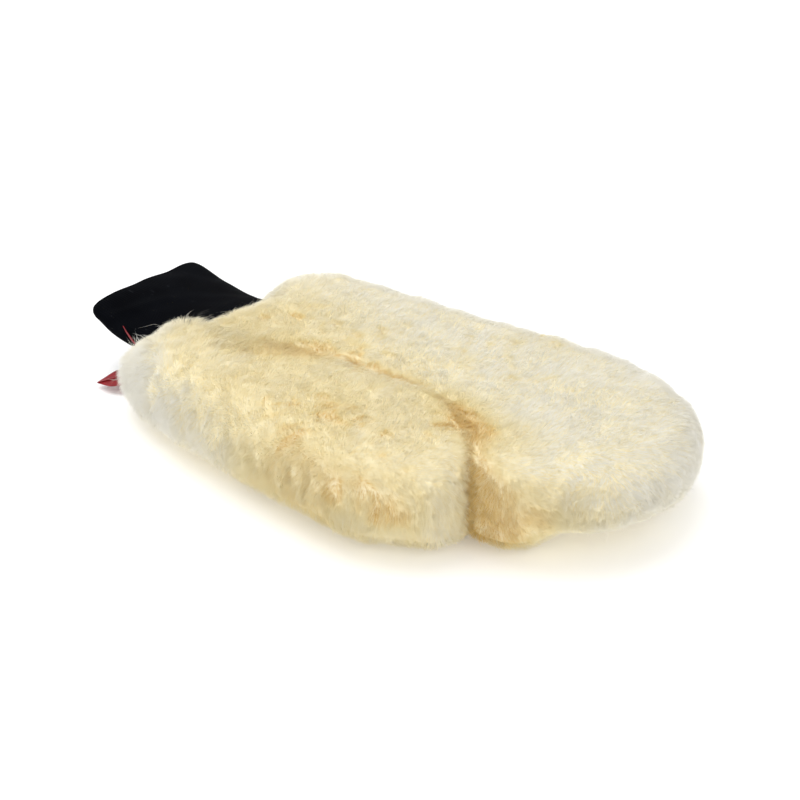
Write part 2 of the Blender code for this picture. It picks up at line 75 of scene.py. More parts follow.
# Plan of the wool's core: the wool reaches FUR_HALF further out on every side.
HAND_START_X = -0.0385
HAND_START_ROUND = (0.014, 0.80)  # length of its rounded wrist end, and its width there
HAND_END_X = FINGERS_HIGH.x - FUR_HALF + 0.0020
HAND_TIP = 0.080
HAND_FAR_WRIST_Y, HAND_FAR_TIP_Y = 0.0355, 0.0285
HAND_FAR_X = (-0.06, 0.10)  # its far side runs from one to the other over these x
HAND_NEAR_Y, HAND_NEAR_TIP_Y = -0.0212, -0.0770
HAND_FLARE_X = (0.092, 0.172)
HAND_WEB, HAND_WEB_X = 0.0373, (-0.020, 0.045)  # it joins the root of the thumb here
THUMB_START_X = -0.0565
THUMB_START_ROUND = (0.026, 0.50)
THUMB_END_X = THUMB_HIGH.x - FUR_HALF + 0.003
THUMB_TIP = 0.052
THUMB_FAR_Y = -0.0690
THUMB_NEAR_Y, THUMB_NEAR_SLOPE = -0.0955, -0.151  # at x = 0
THUMB_HEEL, THUMB_HEEL_X = 0.0100, (-0.060, -0.002)  # the heel is this much slimmer
TIP_POWERS = (2.45, 2.7)  # of the far and the near side
CORNER_STEPS, RUN_STEPS, TIP_STEPS = 8, 24, 24

# The finger end rests on its far side, so its near corner stands off the table.
TIP_LIFT, TIP_LIFT_X, TIP_LIFT_Y = 0.0130, (0.176, 0.196), (0.010, 0.050)
WRIST_LEAN, WRIST_LEAN_X = 0.0150, (0.015, 0.065)  # the wool draws back this far over the cuff
PLUMP_POWER = 4.0  # the facing sides of hand and thumb have this squarer section
PLUMP_DEPTH = (-0.034, -0.006)  # it comes in over this depth in the other part


def smooth_step(x, low, high):
    """0 up to low, 1 from high on, and a smooth rise between them."""
    t = np.clip((np.asarray(x, float) - low) / (high - low), 0, 1)
    return t * t * (3 - 2 * t)


# ---------------------------------------------------------------- plan outlines of the core


def hand_far(x):
    share = float(smooth_step(x, *HAND_FAR_X))
    return HAND_FAR_WRIST_Y + (HAND_FAR_TIP_Y - HAND_FAR_WRIST_Y) * share


def hand_near(x):
    flare = float(smooth_step(x, *HAND_FLARE_X))
    web = HAND_WEB * (1 - float(smooth_step(x, *HAND_WEB_X)))
    return HAND_NEAR_Y - web + (HAND_NEAR_TIP_Y - HAND_NEAR_Y) * flare


def thumb_far(x):
    return THUMB_FAR_Y


def thumb_near(x):
    heel = THUMB_HEEL * (1 - float(smooth_step(x, *THUMB_HEEL_X)))
    return THUMB_NEAR_Y + THUMB_NEAR_SLOPE * x + heel


def lobe_side(sign, power, ends, start_round, far, near):
    """One side of a lobe: a rounded corner, a straight run, and a superellipse end."""
    start, end, tip = ends
    back, narrow = start_round
    shares = []
    for i in range(CORNER_STEPS):
        turn = math.pi / 2 * i / CORNER_STEPS
        x = start + back * (1 - math.cos(turn))
        shares.append((x, narrow + (1 - narrow) * math.sin(turn)))
    run = end - tip - (start + back)
    shares += [(start + back + run * i / RUN_STEPS, 1.0) for i in range(RUN_STEPS)]
    for i in range(TIP_STEPS + 1):
        angle = math.pi / 2 * i / TIP_STEPS
        along = math.sin(angle) ** (2 / power)
        across = max(math.cos(angle), 0) ** (2 / power)
        shares.append((end - tip + tip * along, across))
    side = []
    for x, share in shares:
        middle, half = (far(x) + near(x)) / 2, (far(x) - near(x)) / 2
        side.append((x, middle + sign * half * share))
    return side


def lobe(ends, start_round, far, near):
    """The closed plan outline of a lobe's core; ends are its start x, end x and tip length."""
    far_side = lobe_side(1, TIP_POWERS[0], ends, start_round, far, near)
    near_side = lobe_side(-1, TIP_POWERS[1], ends, start_round, far, near)
    return np.array(far_side + near_side[-2::-1])


HAND = lobe((HAND_START_X, HAND_END_X, HAND_TIP), HAND_START_ROUND, hand_far, hand_near)
THUMB = lobe((THUMB_START_X, THUMB_END_X, THUMB_TIP), THUMB_START_ROUND, thumb_far, thumb_near)


def plan_distance(points, outline):
    """How far each point lies outside a closed plan outline; 0 inside."""
    a, b = outline, np.roll(outline, -1, axis=0)
    best = np.full(len(points), 1e9)
    inside = np.zeros(len(points), bool)
    for p, q in zip(a, b):
        d = q - p
        t = np.clip(((points - p) @ d) / max(d @ d, 1e-12), 0, 1)
        best = np.minimum(best, np.linalg.norm(points - p - t[:, None] * d, axis=1))
        crosses = (p[1] > points[:, 1]) != (q[1] > points[:, 1])
        rise = q[1] - p[1] if abs(q[1] - p[1]) > 1e-12 else 1e-12
        inside ^= crosses & (points[:, 0] < (q[0] - p[0]) * (points[:, 1] - p[1]) / rise + p[0])
    return np.where(inside, 0, best)


def depth_in(points, outline):
    """How deep each point lies inside the wool surface round a core outline; negative outside."""
    out = plan_distance(points[:, :2], outline)
    return FUR_HALF - np.hypot(out, points[:, 2] - MID_Z)


def nearest_on(outline, points):
    """The nearest point of a filled plan outline to each point."""
    a, b = outline, np.roll(outline, -1, axis=0)
    best = np.full(len(points), 1e9)
    found = points.copy()
    for p, q in zip(a, b):
        d = q - p
        t = np.clip(((points - p) @ d) / max(d @ d, 1e-12), 0, 1)
        place = p + t[:, None] * d
        distance = np.linalg.norm(points - place, axis=1)
        closer = distance < best
        best[closer] = distance[closer]
        found[closer] = place[closer]
    return found


def plumped(points, outline, other):
    """Fills out the section on the side that faces the other part, where wool presses on wool."""
    outside = plan_distance(points[:, :2], outline) > 1e-5
    core = np.where(outside[:, None], nearest_on(outline, points[:, :2]), points[:, :2])
    offset = points[:, :2] - core
    out, height = np.linalg.norm(offset, axis=1), points[:, 2] - MID_Z
    radius = np.maximum(np.hypot(out, height), 1e-6)
    powers = np.abs(out / radius) ** PLUMP_POWER + np.abs(height / radius) ** PLUMP_POWER
    squarer = powers ** (-1 / PLUMP_POWER)
    share = smooth_step(depth_in(points, other), *PLUMP_DEPTH)
    scale = squarer**share
    filled = points.copy()
    filled[:, :2] = core + offset * scale[:, None]
    filled[:, 2] = MID_Z + height * scale
    return filled


def drawn_back(points):
    """Draws the upper wool of the wrist end back from the cuff, less so on its far side."""
    drawn = points.copy()
    high = smooth_step(points[:, 2], MID_Z, MID_Z + 0.85 * FUR_HALF)
    near = 1 - 0.75 * smooth_step(points[:, 1], -0.005, 0.022)
    drawn[:, 0] += WRIST_LEAN * high * near * smooth_step(-points[:, 0], *WRIST_LEAN_X)
    return drawn


def lifted(points):
    """Raises the lower wool of the finger end's near corner."""
    raised = points.copy()
    lift = TIP_LIFT * smooth_step(points[..., 0], *TIP_LIFT_X)
    lift *= smooth_step(-points[..., 1], *TIP_LIFT_Y)
    low = np.clip(1 - points[..., 2] / (2 * FUR_HALF), 0, 1) ** 2
    raised[..., 2] += lift * low
    return raised


# ---------------------------------------------------------------- mesh helpers

VOXEL = 0.0026


def link(obj):
    bpy.context.scene.collection.objects.link(obj)
    return obj


def applied(obj, name):
    """The object's evaluated mesh as a new object."""
    bpy.context.view_layer.update()
    graph = bpy.context.evaluated_depsgraph_get()
    mesh = bpy.data.meshes.new_from_object(obj.evaluated_get(graph))
    mesh.transform(obj.matrix_world)
    bpy.data.objects.remove(obj)
    mesh.name = name
    return link(bpy.data.objects.new(name, mesh))


def cushion(name, outline, half):
    """A plan outline filled and rounded by half on every side, as an even smooth mesh."""
    data = bpy.data.curves.new(name, "CURVE")
    data.dimensions = "2D"
    data.fill_mode = "BOTH"
    data.bevel_depth = half
    data.bevel_resolution = 8
    spline = data.splines.new("POLY")
    spline.points.add(len(outline) - 1)
    for point, (x, y) in zip(spline.points, outline):
        point.co = (x, y, 0, 1)
    spline.use_cyclic_u = True
    obj = link(bpy.data.objects.new(name, data))
    obj.location.z = MID_Z
    obj = applied(obj, name)
    weld = obj.modifiers.new("weld", "WELD")
    weld.merge_threshold = 1e-5
    remesh = obj.modifiers.new("remesh", "REMESH")
    remesh.mode = "VOXEL"
    remesh.voxel_size = VOXEL
    soften = obj.modifiers.new("soften", "SMOOTH")
    soften.factor = 0.5
    soften.iterations = 8
    return applied(obj, name)


def mesh_arrays(obj):
    """Points, normals and triangles of a mesh."""
    mesh = obj.data
    mesh.calc_loop_triangles()
    points = np.empty(len(mesh.vertices) * 3)
    mesh.vertices.foreach_get("co", points)
    normals = np.empty(len(mesh.vertices) * 3)
    mesh.vertex_normals.foreach_get("vector", normals)
    triangles = np.empty(len(mesh.loop_triangles) * 3, int)
    mesh.loop_triangles.foreach_get("vertices", triangles)
    return points.reshape(-1, 3), normals.reshape(-1, 3), triangles.reshape(-1, 3)


def unit(v):
    return v / np.maximum(np.linalg.norm(v, axis=-1, keepdims=True), 1e-9)


def waves(points, scale, seed, count=7):
    """Smooth noise in -1..1 with features about scale long."""
    rng = np.random.default_rng(seed)
    total = np.zeros(len(points))
    for _ in range(count):
        direction = unit(rng.normal(size=3))
        frequency = math.tau / scale * rng.uniform(0.55, 1.3)
        total += np.sin(points @ direction * frequency + rng.uniform(0, math.tau))
    return total / count * 1.5


# ---------------------------------------------------------------- materials

TONES = (0.0, 0.35, 1.0)  # amber, honey, ivory
ROOT_COLOURS = ((0.81, 0.60, 0.24), (0.90, 0.81, 0.53), (0.95, 0.94, 0.885))
TIP_COLOURS = ((0.88, 0.725, 0.37), (0.93, 0.875, 0.65), (0.965, 0.965, 0.945))
UNDER_WOOL_DARK, UNDER_WOOL_PALE = (0.88, 0.77, 0.48), (0.92, 0.85, 0.62)
WOOL_THROUGH = 0.50  # share of the light that a strand lets through
KNIT_DARK = (0.0010, 0.0012, 0.0021)
KNIT_PALE = (0.0022, 0.0027, 0.0040)
LINT = (0.018, 0.020, 0.024)
KNIT_RIB = 0.0016
SATIN_DARK, SATIN_PALE = (0.20, 0.0010, 0.005), (0.29, 0.0020, 0.009)
LEATHER_DARK, LEATHER_PALE = (0.60, 0.47, 0.30), (0.76, 0.64, 0.46)
PALE_THREAD = (0.70, 0.62, 0.46), (0.85, 0.79, 0.64)
DARK_THREAD = (0.010, 0.010, 0.015), (0.030, 0.030, 0.040)


def node_material(name):
    material = bpy.data.materials.new(name)
    material.use_nodes = True
    nodes = material.node_tree.nodes
    return material, nodes, material.node_tree.links, nodes["Principled BSDF"]


def ramp(nodes, stops):
    node = nodes.new("ShaderNodeValToRGB")
    elements = node.color_ramp.elements
    while len(elements) < len(stops):
        elements.new(0.5)
    for element, (place, colour) in zip(elements, stops):
        element.position = place
        element.color = (*colour, 1)
    return node


def noise_node(nodes, links, scale, detail=3, stretch=(1, 1, 1)):
    """Noise over object coordinates; scale is in cycles a metre."""
    place = nodes.new("ShaderNodeTexCoord")
    mapping = nodes.new("ShaderNodeMapping")
    mapping.inputs["Scale"].default_value = stretch
    noise = nodes.new("ShaderNodeTexNoise")
    noise.inputs["Scale"].default_value = scale
    noise.inputs["Detail"].default_value = detail
    links.new(place.outputs["Object"], mapping.inputs["Vector"])
    links.new(mapping.outputs["Vector"], noise.inputs["Vector"])
    return noise, mapping


def add_bump(nodes, links, shader, height, strength, distance):
    bump = nodes.new("ShaderNodeBump")
    bump.inputs["Strength"].default_value = strength
    bump.inputs["Distance"].default_value = distance
    links.new(height, bump.inputs["Height"])
    links.new(bump.outputs["Normal"], shader.inputs["Normal"])


def wool_material():
    """Strands, warm at the root and pale at the tip: amber, honey or ivory by their tone."""
    material, nodes, links, shader = node_material("wool_strands")
    uv = nodes.new("ShaderNodeUVMap")
    uv.uv_map = "OFBake"
    split = nodes.new("ShaderNodeSeparateXYZ")
    links.new(uv.outputs["UV"], split.inputs[0])
    roots = ramp(nodes, list(zip(TONES, ROOT_COLOURS)))
    tips = ramp(nodes, list(zip(TONES, TIP_COLOURS)))
    for node in (roots, tips):
        links.new(split.outputs["X"], node.inputs["Fac"])
    mix = nodes.new("ShaderNodeMix")
    mix.data_type = "RGBA"
    links.new(split.outputs["Y"], mix.inputs["Factor"])
    links.new(roots.outputs["Color"], mix.inputs["A"])
    links.new(tips.outputs["Color"], mix.inputs["B"])
    links.new(mix.outputs["Result"], shader.inputs["Base Color"])
    shader.inputs["Roughness"].default_value = 0.9
    shader.inputs["Specular IOR Level"].default_value = 0.1
    through = nodes.new("ShaderNodeBsdfTranslucent")
    links.new(mix.outputs["Result"], through.inputs["Color"])
    both = nodes.new("ShaderNodeMixShader")
    both.inputs["Fac"].default_value = WOOL_THROUGH
    links.new(shader.outputs["BSDF"], both.inputs[1])
    links.new(through.outputs["BSDF"], both.inputs[2])
    links.new(both.outputs["Shader"], nodes["Material Output"].inputs["Surface"])
    return material


def under_wool_material():
    material, nodes, links, shader = node_material("under_wool")
    noise, _ = noise_node(nodes, links, 260, 4)
    colours = ramp(nodes, [(0.3, UNDER_WOOL_DARK), (0.7, UNDER_WOOL_PALE)])
    links.new(noise.outputs["Fac"], colours.inputs["Fac"])
    links.new(colours.outputs["Color"], shader.inputs["Base Color"])
    add_bump(nodes, links, shader, noise.outputs["Fac"], 0.8, 0.001)
    shader.inputs["Roughness"].default_value = 0.95
    return material


def knit_material():
    """Fine rib knit: ribs along the cuff, small loops in each rib, and lint."""
    material, nodes, links, shader = node_material("fine_knit")
    cloudy, _ = noise_node(nodes, links, 45, 3)
    lint, _ = noise_node(nodes, links, 420, 2, (0.5, 1, 1))
    colours = ramp(nodes, [(0.35, KNIT_DARK), (0.70, KNIT_PALE)])
    specks = ramp(nodes, [(0.71, (0, 0, 0)), (0.76, (1, 1, 1))])
    links.new(cloudy.outputs["Fac"], colours.inputs["Fac"])
    links.new(lint.outputs["Fac"], specks.inputs["Fac"])
    mix = nodes.new("ShaderNodeMix")
    mix.data_type = "RGBA"
    mix.inputs["B"].default_value = (*LINT, 1)
    links.new(specks.outputs["Color"], mix.inputs["Factor"])
    links.new(colours.outputs["Color"], mix.inputs["A"])
    links.new(mix.outputs["Result"], shader.inputs["Base Color"])
    place = nodes.new("ShaderNodeTexCoord")
    ribs = nodes.new("ShaderNodeTexWave")
    ribs.bands_direction = "Y"
    ribs.inputs["Scale"].default_value = 1 / (KNIT_RIB * 3.2)
    ribs.inputs["Distortion"].default_value = 0.6
    ribs.inputs["Detail"].default_value = 1
    loops = nodes.new("ShaderNodeTexWave")
    loops.bands_direction = "X"
    loops.inputs["Scale"].default_value = 1 / (KNIT_RIB * 1.9)
    loops.inputs["Distortion"].default_value = 1.5
    for wave in (ribs, loops):
        links.new(place.outputs["Object"], wave.inputs["Vector"])
    total = nodes.new("ShaderNodeMath")
    total.operation = "MULTIPLY_ADD"
    total.inputs[1].default_value = 0.35
    links.new(loops.outputs["Fac"], total.inputs[0])
    links.new(ribs.outputs["Fac"], total.inputs[2])
    add_bump(nodes, links, shader, total.outputs["Value"], 0.35, 0.0003)
    shader.inputs["Roughness"].default_value = 0.95
    shader.inputs["Specular IOR Level"].default_value = 0.02
    shader.inputs["Sheen Weight"].default_value = 0.008
    shader.inputs["Sheen Roughness"].default_value = 0.5
    return material


def satin_material():
    """Woven satin ribbon: fine threads across it, and a soft shine."""
    material, nodes, links, shader = node_material("satin_ribbon")
    cloudy, _ = noise_node(nodes, links, 300, 2)
    colours = ramp(nodes, [(0.3, SATIN_DARK), (0.75, SATIN_PALE)])
    links.new(cloudy.outputs["Fac"], colours.inputs["Fac"])
    links.new(colours.outputs["Color"], shader.inputs["Base Color"])
    place = nodes.new("ShaderNodeTexCoord")
    threads = nodes.new("ShaderNodeTexWave")
    threads.bands_direction = "DIAGONAL"
    threads.inputs["Scale"].default_value = 900
    threads.inputs["Distortion"].default_value = 0.4
    links.new(place.outputs["Object"], threads.inputs["Vector"])
    add_bump(nodes, links, shader, threads.outputs["Fac"], 0.2, 0.0001)
    shader.inputs["Roughness"].default_value = 0.42
    shader.inputs["Specular IOR Level"].default_value = 0.22
    shader.inputs["Sheen Weight"].default_value = 0.05
    return material


def leather_material():
    """The hide side of a sheepskin: a suede nap with pores."""
    material, nodes, links, shader = node_material("suede")
    noise, mapping = noise_node(nodes, links, 120, 5)
    colours = ramp(nodes, [(0.3, LEATHER_DARK), (0.7, LEATHER_PALE)])
    links.new(noise.outputs["Fac"], colours.inputs["Fac"])
    links.new(colours.outputs["Color"], shader.inputs["Base Color"])
    pores = nodes.new("ShaderNodeTexVoronoi")
    pores.inputs["Scale"].default_value = 900
    links.new(mapping.outputs["Vector"], pores.inputs["Vector"])
    add_bump(nodes, links, shader, pores.outputs["Distance"], 0.4, 0.0003)
    shader.inputs["Roughness"].default_value = 0.85
    return material


def thread_material(name, dark, pale):
    """Twisted sewing thread."""
    material, nodes, links, shader = node_material(name)
    noise, _ = noise_node(nodes, links, 500, 2)
    colours = ramp(nodes, [(0.3, dark), (0.7, pale)])
    links.new(noise.outputs["Fac"], colours.inputs["Fac"])
    links.new(colours.outputs["Color"], shader.inputs["Base Color"])
    place = nodes.new("ShaderNodeTexCoord")
    twist = nodes.new("ShaderNodeTexWave")
    twist.bands_direction = "DIAGONAL"
    twist.inputs["Scale"].default_value = 500
    links.new(place.outputs["Object"], twist.inputs["Vector"])
    add_bump(nodes, links, shader, twist.outputs["Fac"], 0.6, 0.0002)
    shader.inputs["Roughness"].default_value = 0.75
    return material


WOOL = wool_material()
UNDER_WOOL = under_wool_material()
KNIT = knit_material()
SATIN = satin_material()


# ---------------------------------------------------------------- wool

# Painted shade: the amber wool on the hand between hand and thumb, where the hand lies in shade by the thumb's
# tip: its middle x, y, and how far it reaches in x, y.
CROTCH_PAINTED_SHADE = (0.142, -0.080, 0.038, 0.024)
STRAND_WIDTH = 0.00013
SWEEP = 0.0038  # how far a strand leans along the surface
PARTING_WIDTH = 0.0015
PARTING_ZONES = (  # middle x, y, spread in x, y, and how many partings
    (0.060, -0.044, 0.045, 0.006, 26),
    (0.135, -0.070, 0.014, 0.014, 12),
    (0.080, -0.105, 0.050, 0.018, 26),
    (0.020, -0.020, 0.050, 0.030, 22),
    (0.130, 0.010, 0.060, 0.035, 20),
    (0.125, -0.130, 0.030, 0.008, 10),
)


def partings():
    """Short wandering lines where the wool opens, as (middle, half vector, strength)."""
    rng = np.random.default_rng(SEED)
    lines = []
    for x, y, spread_x, spread_y, count in PARTING_ZONES:
        for _ in range(count):
            middle = (x + rng.normal(0, spread_x / 2), y + rng.normal(0, spread_y / 2))
            angle = rng.normal(-0.15, 0.45)
            half = rng.uniform(0.0015, 0.0075) * np.array([math.cos(angle), math.sin(angle)])
            lines.append((np.array(middle), half, rng.uniform(0.35, 1)))
    return lines


PARTINGS = partings()


def parted(roots, normals, seed):
    """How strongly each root is parted, and the plan direction away from its parting."""
    strength = np.zeros(len(roots))
    away = np.zeros((len(roots), 3))
    plan = roots[:, :2].copy()
    plan[:, 0] += 0.0016 * waves(roots, 0.010, seed)
    plan[:, 1] += 0.0016 * waves(roots, 0.010, seed + 1)
    upper = smooth_step(normals[:, 2], -0.2, 0.2)
    for middle, half, power in PARTINGS:
        offset = plan - middle
        close = np.abs(offset).max(axis=1) < 0.016
        near = offset[close]
        t = np.clip(near @ half / (half @ half), -1, 1)
        near = near - t[:, None] * half
        distance = np.linalg.norm(near, axis=1)
        value = power * np.exp(-((distance / PARTING_WIDTH) ** 2)) * upper[close]
        value *= 1 - 0.7 * np.abs(t) ** 3
        stronger = value > strength[close]
        index = np.nonzero(close)[0][stronger]
        strength[index] = value[stronger]
        away[index, :2] = near[stronger] / np.maximum(distance[stronger], 1e-5)[:, None]
    return strength, away


def sample_surface(obj, count, rng, weight):
    """Random points on a mesh, as dense as weight says, with the surface normals there."""
    points, normals, triangles = mesh_arrays(obj)
    corners = points[triangles]
    sides = corners[:, 1:] - corners[:, :1]
    area = np.linalg.norm(np.cross(sides[:, 0], sides[:, 1]), axis=1)
    area = area * weight(corners.mean(axis=1), unit(normals[triangles].mean(axis=1)))
    chosen = rng.choice(len(triangles), count, p=area / area.sum())
    a, b = rng.random(count), rng.random(count)
    flip = a + b > 1
    a[flip], b[flip] = 1 - a[flip], 1 - b[flip]
    share = np.stack([1 - a - b, a, b], axis=1)[:, :, None]
    roots = (corners[chosen] * share).sum(axis=1)
    return roots, unit((normals[triangles[chosen]] * share).sum(axis=1))


def comb(points, normals, seed):
    """The way the wool lies: towards the fingertips on top, and down and outwards at the sides."""
    side = 1 - np.abs(normals[:, 2])
    wanted = np.zeros_like(points)
    wanted[:, 0] = 0.9 - 0.7 * side
    wanted[:, 2] = -0.55 * side
    wanted[:, 1] = 0.15 * normals[:, 1]
    wrist = np.clip(-normals[:, 0] * 1.6, 0, 1)
    wanted[:, 0] -= wrist * 1.1
    for axis in range(3):
        wanted[:, axis] += 0.55 * waves(points, 0.040, seed + axis)
        wanted[:, axis] += 0.35 * waves(points, 0.014, seed + 10 + axis)
        wanted[:, axis] += 0.12 * waves(points, 0.006, seed + 14 + axis)
    wanted -= normals * (wanted * normals).sum(axis=1)[:, None]
    return unit(wanted)


def clump_towards(curves, roots, share_of_leads, pull, rng):
    """Draws the outer part of each strand towards its clump's leading strand."""
    count, steps = curves.shape[:2]
    picked = rng.permutation(count)[: max(8, int(count * share_of_leads))]
    tree = KDTree(len(picked))
    for i, k in enumerate(picked):
        tree.insert(roots[k], i)
    tree.balance()
    nearest = np.fromiter((tree.find(p)[1] for p in roots), int, count)
    lead = picked[nearest]
    for s in range(1, steps):
        share = pull * (s / (steps - 1)) ** 1.3
        curves[:, s] += (curves[lead, s] - curves[:, s]) * share
    return nearest


def strand_piece(name, curves, widths, normals, tone, body_a, body_b, start, end):
    """Ribbons along curves of three points, tapering to the tip, as one mesh."""
    count, steps = curves.shape[:2]
    along = unit(np.gradient(curves, axis=1))
    across = unit(np.cross(along, normals[:, None, :]))
    twist = np.random.default_rng(len(name)).normal(0, 0.5, count)[:, None, None]
    facing = np.cross(across, along)
    across = across * np.cos(twist) + facing * np.sin(twist)
    taper = np.array([1.0, 0.9, 0.0])
    offsets = across * (widths[:, None] * taper[None, :] / 2)[:, :, None]
    left, right = curves - offsets, curves + offsets
    per = 2 * (steps - 1) + 1
    points = np.empty((count, per, 3))
    for s in range(steps - 1):
        points[:, 2 * s] = left[:, s]
        points[:, 2 * s + 1] = right[:, s]
    points[:, -1] = curves[:, -1]
    base = (np.arange(count) * per)[:, None]
    quads = [base + np.array([2 * s, 2 * s + 1, 2 * s + 3, 2 * s + 2]) for s in range(steps - 2)]
    quads = np.stack(quads, axis=1).reshape(count, -1)
    tip = base + np.array([per - 3, per - 2, per - 1])
    corners = np.concatenate([quads, tip], axis=1).ravel()
    sizes = np.tile(np.array([4] * (steps - 2) + [3]), count)
    mesh = bpy.data.meshes.new(name)
    mesh.vertices.add(count * per)
    mesh.vertices.foreach_set("co", points.astype(np.float32).ravel())
    mesh.loops.add(len(corners))
    mesh.loops.foreach_set("vertex_index", corners.astype(np.int32))
    mesh.polygons.add(len(sizes))
    starts = np.concatenate([[0], np.cumsum(sizes)[:-1]])
    mesh.polygons.foreach_set("loop_start", starts.astype(np.int32))
    mesh.polygons.foreach_set("use_smooth", np.ones(len(sizes), bool))
    mesh.update(calc_edges=True)
    heights = np.append(np.repeat(np.linspace(0, 1, steps)[:-1], 2), 1.0)
    uv = np.empty((count, per, 2), np.float32)
    uv[:, :, 0] = tone[:, None]
    uv[:, :, 1] = heights[None, :]
    layer = mesh.uv_layers.new(name="OFBake")
    layer.uv.foreach_set("vector", uv.reshape(-1, 2)[corners].ravel())
    soft = np.repeat(normals[:, None, :], per, axis=1)
    mesh.normals_split_custom_set_from_vertices(soft.reshape(-1, 3).astype(np.float32))
    mesh.materials.append(WOOL)
    obj = link(bpy.data.objects.new(name, mesh))
    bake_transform(obj)
    return obj


def in_cuff(points, room):
    """Whether each point lies in the tube of the cuff, widened by room."""
    inside = points[:, 0] < CUFF_HINGE.x + 0.030
    inside &= np.abs(points[:, 1] - CUFF_Y) < (CUFF_HIGH.y - CUFF_LOW.y) / 2 - 0.008 + room
    return inside & (np.abs(points[:, 2] - MID_Z) < 0.009 + room)


def grow(name, surface, other, count, seed, body_b, start, end, nodes, pieces):
    """Grows wool on a surface, in a number of pieces."""
    rng = np.random.default_rng(seed)

    def weight(centres, normals):
        low = np.where(normals[:, 2] < -0.45, np.where(centres[:, 0] > 0.03, 0.5, 0.25), 1.0)
        buried = depth_in(centres, other) > 0.006
        hidden = buried & (centres[:, 0] < CROTCH_X + 0.010)
        between = (depth_in(centres, other) > 0) & (np.abs(centres[:, 2] - MID_Z) < 0.016)
        hidden |= between & (centres[:, 0] < CROTCH_X + 0.005)
        hidden |= in_cuff(centres, 0.002)
        return low * np.where(hidden, 0.0, 1.0) * np.where(buried, 0.4, 1.0)

    roots, normals = sample_surface(surface, count, rng, weight)
    lie = comb(roots, normals, seed + 20)
    open_share, away = parted(roots, normals, SEED + 5)
    lie = unit(lie * (1 - 0.5 * open_share)[:, None] + away * (0.9 * open_share)[:, None])
    side = 1 - np.abs(normals[:, 2])
    length = 1 + 0.08 * waves(roots, 0.020, seed + 31) + 0.03 * waves(roots, 0.006, seed + 33)
    length = np.clip(length + rng.normal(0, 0.07, count), 0.6, 1.4)
    length *= 1 + 0.5 * wrist_edge(roots, normals)
    stray = rng.random(count) < 0.015
    length = np.where(stray, length * rng.uniform(1.2, 2.2, count), length)
    reach = UNDER * (1.0 + 0.25 * side) * length * (1 - 0.25 * open_share)
    reach += 0.0003 * waves(roots, 0.013, seed + 32) + rng.normal(0, 0.0002, count)
    lean = rng.normal(0, 0.16, (count, 3)) * np.where(stray, 2.5, 1.0)[:, None]
    lean -= normals * (lean * normals).sum(axis=1)[:, None]
    lie = lie + lean
    shares = np.array([0.0, 0.5, 1.0])
    rise = 1 - (1 - shares) ** 1.7
    run = shares**1.4
    curves = roots[:, None, :] + normals[:, None, :] * (reach[:, None] * rise)[:, :, None]
    curves += lie[:, None, :] * (SWEEP * length[:, None] * run)[:, :, None]
    big = clump_towards(curves, roots, 0.010, 0.10, rng)
    clump_towards(curves, roots, 0.07, 0.16, rng)
    curves = lifted(curves)
    curves[:, :, 2] = np.maximum(curves[:, :, 2], 0.0004)
    tone = base_tone(roots, normals, other)
    tone += rng.normal(0, 0.020, big.max() + 1)[big] + rng.normal(0, 0.020, count)
    tone += 0.10 * waves(roots, 0.05, seed + 41) + 0.04 * waves(roots, 0.014, seed + 42)
    # Parted wool is amber: partly the deeper wool that a parting opens, partly painted shade in the cleft.
    tone = np.clip(tone - 0.80 * open_share + np.where(stray, 0.2, 0), 0.02, 0.98)
    widths = STRAND_WIDTH * rng.uniform(0.75, 1.25, count)
    order = np.argsort(roots[:, 0])
    made = []
    for i, part in enumerate(np.array_split(order, pieces)):
        data = (curves[part], widths[part], normals[part], tone[part])
        made.append(strand_piece(f"{name}_{i + 1}", *data, "palm", body_b, start, end))
    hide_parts(*nodes)
    return made


def wrist_edge(points, normals):
    """1 where the wool faces the wrist, and 0 elsewhere."""
    return smooth_step(-points[:, 0], 0.030, 0.055) * smooth_step(-normals[:, 0], -0.1, 0.6)


def hand_tone(x, y, side, up):
    """Ivory over the fingers with painted light on the top of the finger end, honey by the wrist, and painted
    shade: honey on the near side and amber in the crotch.
    """
    tone = 0.54 + 0.38 * smooth_step(x + 1.8 * y, -0.06, 0.07)
    # Painted light: the top of the finger end is paler.
    tone += 0.25 * smooth_step(x, 0.12, 0.19) * smooth_step(up, 0.0, 0.7)
    # Painted shade: the near side is darker honey.
    tone -= 0.46 * side * smooth_step(-x, -0.25, -0.19)
    # Painted shade: amber in the crotch, where the hand lies in shade by the thumb's tip.
    middle_x, middle_y, spread_x, spread_y = CROTCH_PAINTED_SHADE
    reach = ((x - middle_x) / spread_x) ** 2 + ((y - middle_y) / spread_y) ** 2
    return tone - 0.55 * np.exp(-reach)


def thumb_tone(x, side):
    """Honey, with an ivory heel, painted shade on the near side towards the tip, and painted light on the end."""
    tone = 0.50 + 0.40 * side * smooth_step(-x, -0.09, 0.02)
    tone += 0.18 * smooth_step(-x, 0.0, 0.04)
    # Painted shade: the near side is darker towards the tip.
    tone -= 0.24 * side * smooth_step(x, 0.01, 0.06)
    # Painted light: the end of the thumb is paler.
    return tone + 0.12 * smooth_step(x, 0.100, 0.125)


def base_tone(roots, normals, other):
    """0 is amber wool, 1 is ivory, and honey lies between them."""
    x, y = roots[:, 0], roots[:, 1]
    side = smooth_step(-normals[:, 1], 0.35, 0.9)
    if other is THUMB:
        tone = hand_tone(x, y, side, normals[:, 2])
    else:
        tone = thumb_tone(x, side)
    tone += 0.14 * wrist_edge(roots, normals)
    tone += 0.25 * smooth_step(normals[:, 1], 0.3, 0.9)
    # Painted shade: wool near the other part, in the valley between hand and thumb, turns amber.
    painted_valley_shade = np.clip((depth_in(roots, other) + 0.012) / 0.018, 0, 1)
    return tone - 0.60 * painted_valley_shade * (0.25 + 0.75 * smooth_step(x, -0.03, 0.03))


